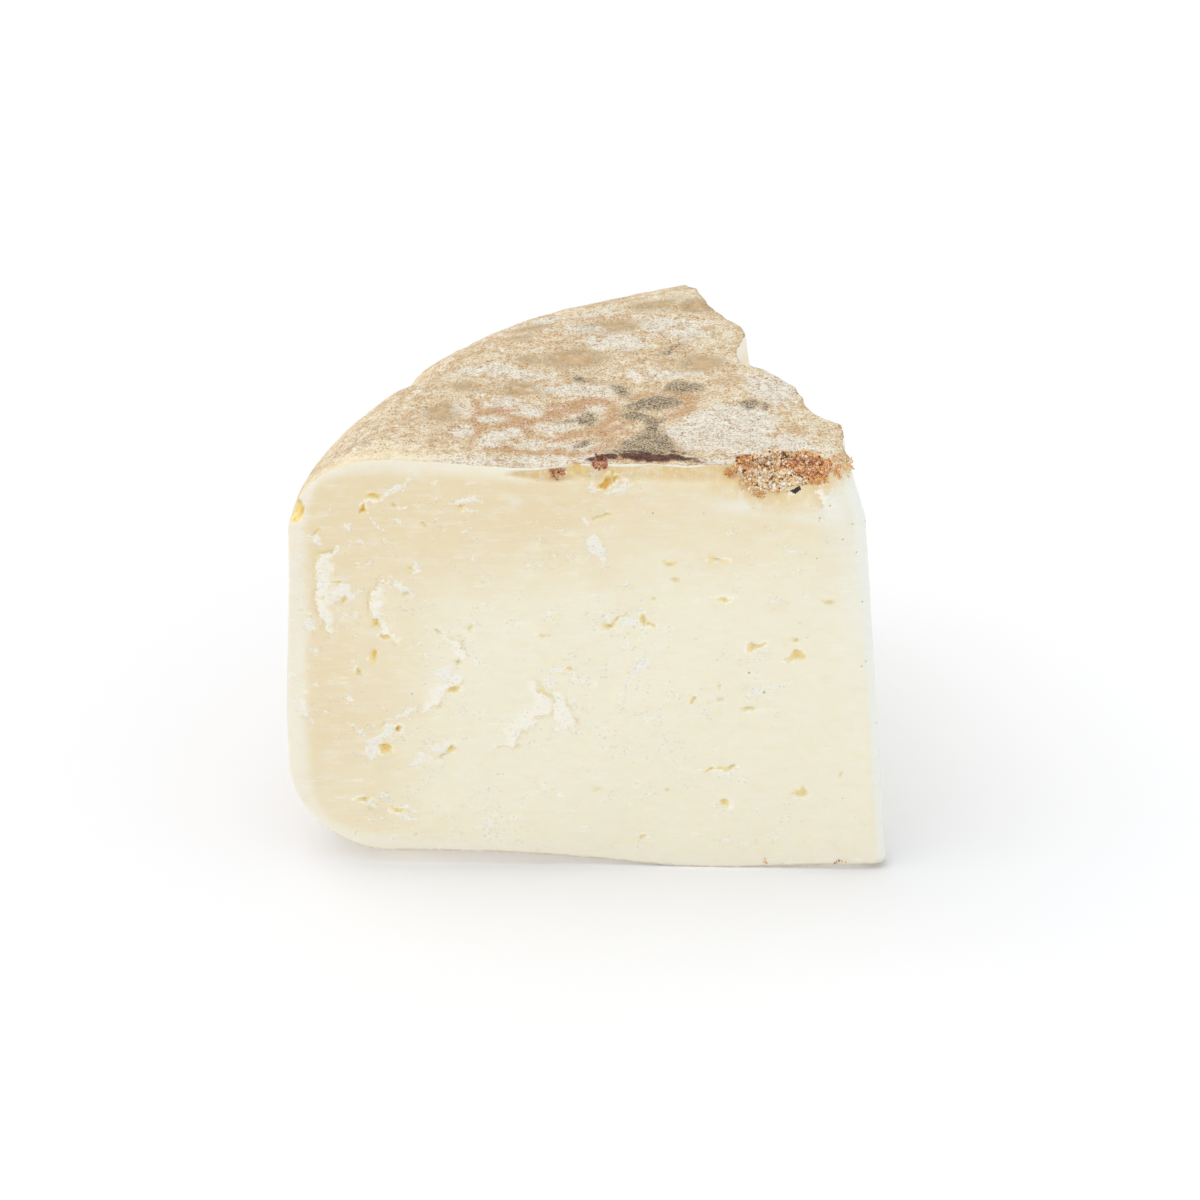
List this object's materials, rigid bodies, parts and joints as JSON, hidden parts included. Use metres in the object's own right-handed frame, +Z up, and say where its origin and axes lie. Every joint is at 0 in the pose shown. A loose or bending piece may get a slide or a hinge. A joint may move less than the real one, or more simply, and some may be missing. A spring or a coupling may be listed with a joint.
{
  "type": "cheese wedge",
  "caption": "Wedge of a small tall pressed cheese with a pale smooth cut face, irregular eyes, torn flakes, a mottled mould-spotted rind and one crumbled corner.",
  "frame": {"origin": "on the ground, under the middle of the wedge's bounding box", "axes": "+Z up, as the wedge stands on the wheel's underside; the front cut faces -Y, with the tip at +X and the rind round the left and the back"},
  "size_m": [0.1053, 0.0902, 0.0811],
  "materials": {
    "cheese": "matt cut paste with a faint fatty sheen, and a dry mottled rind"
  },
  "bodies": {
    "root": {"cheese_wedge": "cheese"}
  },
  "joints": []
}
